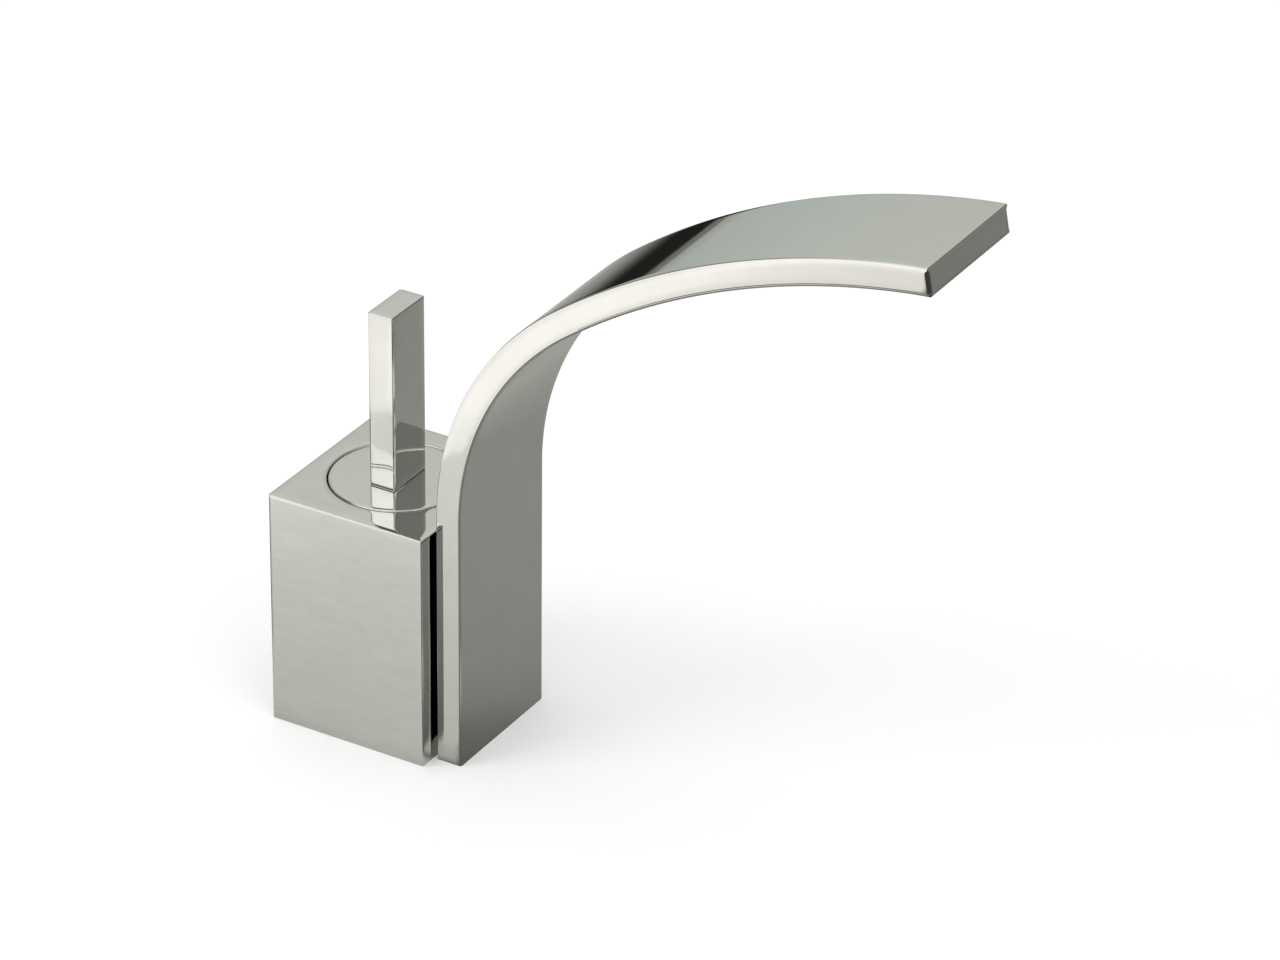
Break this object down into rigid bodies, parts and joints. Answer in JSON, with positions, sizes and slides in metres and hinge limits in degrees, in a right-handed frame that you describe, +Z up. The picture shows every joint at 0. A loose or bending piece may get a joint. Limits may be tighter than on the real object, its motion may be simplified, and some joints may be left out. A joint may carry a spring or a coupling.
{
  "type": "basin faucet",
  "caption": "Waterfall basin faucet: square valve block, flush disc with an upright joystick lever, and a flat hollow spout that arches over the basin.",
  "frame": {"origin": "centre of the valve block's base, on the deck", "axes": "+X along the spout's reach over the basin, +Y across the width, +Z up"},
  "size_m": [0.1996, 0.054, 0.1938],
  "materials": {
    "chrome_plate": "polished chrome plate on brass",
    "brass": "turned, unplated",
    "stainless": "turned stainless steel",
    "rubber": "matt black rubber",
    "ceramic": "lapped alumina",
    "plastic_white": "moulded",
    "plastic_grey": "moulded"
  },
  "bodies": {
    "faucet_body": {"valve_block": "chrome_plate", "base_seal": "rubber", "spout_shell": "chrome_plate", "spout_underside": "chrome_plate", "spout_end_plate": "chrome_plate", "spout_foot": "brass", "outlet_straightener": "plastic_grey", "outlet_seal": "rubber", "spout_spigot": "brass", "spigot_rings": "rubber", "spigot_lock_screw": "stainless", "spout_pins": "stainless", "cartridge_housing": "plastic_white", "cartridge_base": "plastic_white", "port_seals": "rubber", "disc_seals": "rubber", "fixed_ceramic_disc": "ceramic", "cartridge_nut": "brass", "stop_ring": "plastic_grey"},
    "carrier": {"stem_carrier": "plastic_grey", "carrier_ring": "rubber", "pivot_pin": "stainless"},
    "handle": {"lever_bar": "chrome_plate", "handle_disc": "chrome_plate", "lever_stem": "stainless", "handle_screw": "stainless", "lever_grub_screw": "stainless"},
    "slider": {"disc_driver": "plastic_white", "moving_ceramic_disc": "ceramic"}
  },
  "joints": [
    {"name": "handle_turn", "type": "hinge", "parent": "faucet_body", "child": "carrier", "pos_m": [0, 0, 0.061], "axis": [0, 0, 1], "range_deg": [-50, 50]},
    {"name": "handle_tilt", "type": "hinge", "parent": "carrier", "child": "handle", "pos_m": [0, 0, 0.061], "axis": [0, -1, 0], "range_deg": [0, 20]},
    {"name": "driver_slide", "type": "slide", "parent": "carrier", "child": "slider", "axis": [1, 0, 0], "range_m": [0, 0.0043]}
  ],
  "couplings": [
    {"joint": "driver_slide", "follows": "handle_tilt", "m_per_rad": 0.012248}
  ]
}
